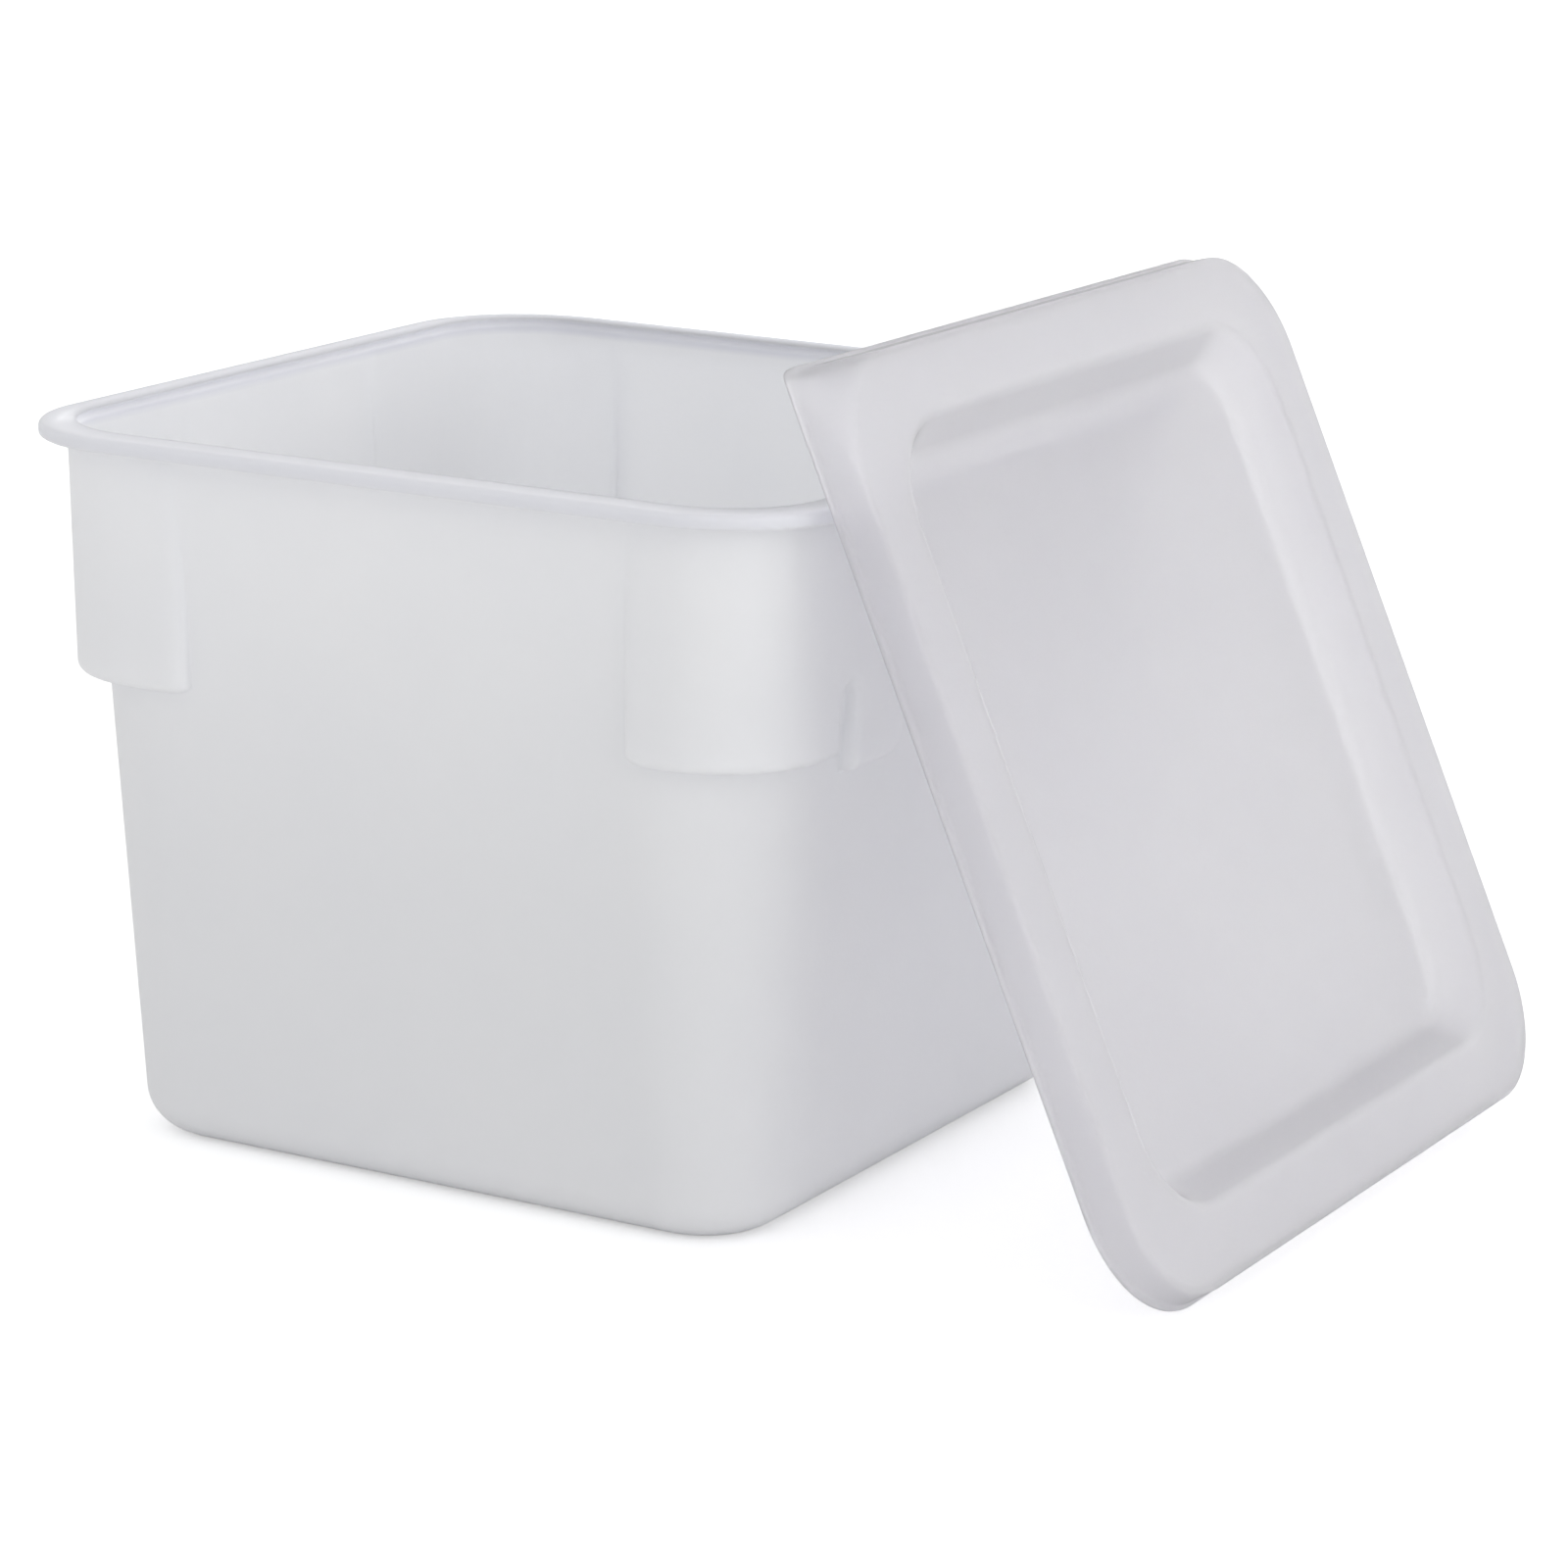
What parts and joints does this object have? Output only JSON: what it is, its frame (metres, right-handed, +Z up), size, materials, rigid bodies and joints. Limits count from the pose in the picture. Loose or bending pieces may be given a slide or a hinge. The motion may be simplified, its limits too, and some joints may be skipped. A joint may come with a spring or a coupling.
{
  "type": "dough proofing container",
  "caption": "Square plastic food storage tub with rim flange and hollow corner bosses, its translucent dished press-on lid leaning against it.",
  "frame": {"origin": "middle of the container's flat base", "axes": "+Z up, -Y out of the container's front wall, +X towards the leaning lid"},
  "size_m": [0.3121, 0.2498, 0.2128],
  "materials": {
    "white_plastic": "satin",
    "translucent_plastic": "satin, milky translucent"
  },
  "bodies": {
    "tub": {"container": "white_plastic"},
    "cover": {"lid": "translucent_plastic"}
  },
  "joints": [
    {"name": "lid_tip", "type": "hinge", "parent": "tub", "child": "cover", "pos_m": [0.19294, 0.0232, 0], "axis": [0, 1, 0], "range_deg": [0, 34]}
  ]
}
